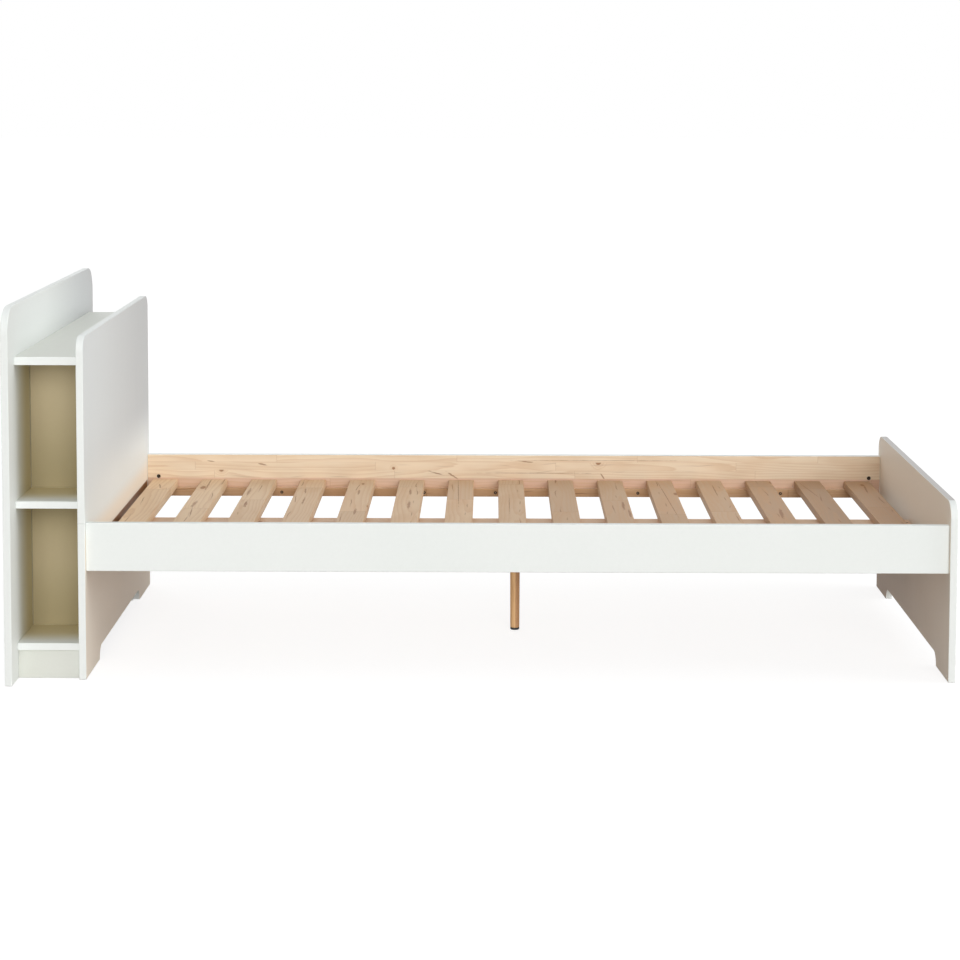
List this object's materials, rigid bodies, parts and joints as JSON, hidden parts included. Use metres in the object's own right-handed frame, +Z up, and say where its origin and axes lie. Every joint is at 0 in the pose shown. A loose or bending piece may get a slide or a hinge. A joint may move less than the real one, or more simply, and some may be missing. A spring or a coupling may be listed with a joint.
{
  "type": "bookcase headboard bed",
  "caption": "Single bed in white painted board and pine, with slats and a bookcase headboard: a shelf between two panels and an open compartment at each side.",
  "frame": {"origin": "on the floor under the middle of the bed's outer box", "axes": "+X from the headboard to the footboard, +Y from the near side to the far side, +Z up"},
  "size_m": [2.0976, 1.086, 0.834],
  "materials": {
    "white_paint": "satin white paint on board",
    "natural_pine": "planed, clear lacquer",
    "dowel_wood": "unfinished",
    "zinc_steel": "zinc plated",
    "black_plastic": "moulded"
  },
  "bodies": {
    "root": {"back_panel": "white_paint", "barrel_nuts": "zinc_steel", "batten_far": "natural_pine", "batten_near": "natural_pine", "beam_block_foot": "natural_pine", "beam_block_head": "natural_pine", "bed_bolts": "zinc_steel", "bottom_shelf_far": "white_paint", "bottom_shelf_near": "white_paint", "cam_bolts": "zinc_steel", "cam_discs": "zinc_steel", "centre_beam": "natural_pine", "centre_leg": "natural_pine", "divider_far": "white_paint", "divider_near": "white_paint", "footboard": "white_paint", "front_panel": "white_paint", "head_end_panel": "white_paint", "leg_glide": "black_plastic", "leg_hanger_bolt": "zinc_steel", "leg_insert_nut": "zinc_steel", "middle_shelf_far": "white_paint", "middle_shelf_near": "white_paint", "plinth_far": "white_paint", "plinth_near": "white_paint", "side_rail_far": "white_paint", "side_rail_near": "white_paint", "slat_01": "natural_pine", "slat_02": "natural_pine", "slat_03": "natural_pine", "slat_04": "natural_pine", "slat_05": "natural_pine", "slat_06": "natural_pine", "slat_07": "natural_pine", "slat_08": "natural_pine", "slat_09": "natural_pine", "slat_10": "natural_pine", "slat_11": "natural_pine", "slat_12": "natural_pine", "slat_13": "natural_pine", "slat_14": "natural_pine", "slat_15": "natural_pine", "top_shelf": "white_paint", "wood_dowels": "dowel_wood", "wood_screws": "zinc_steel"}
  },
  "joints": []
}
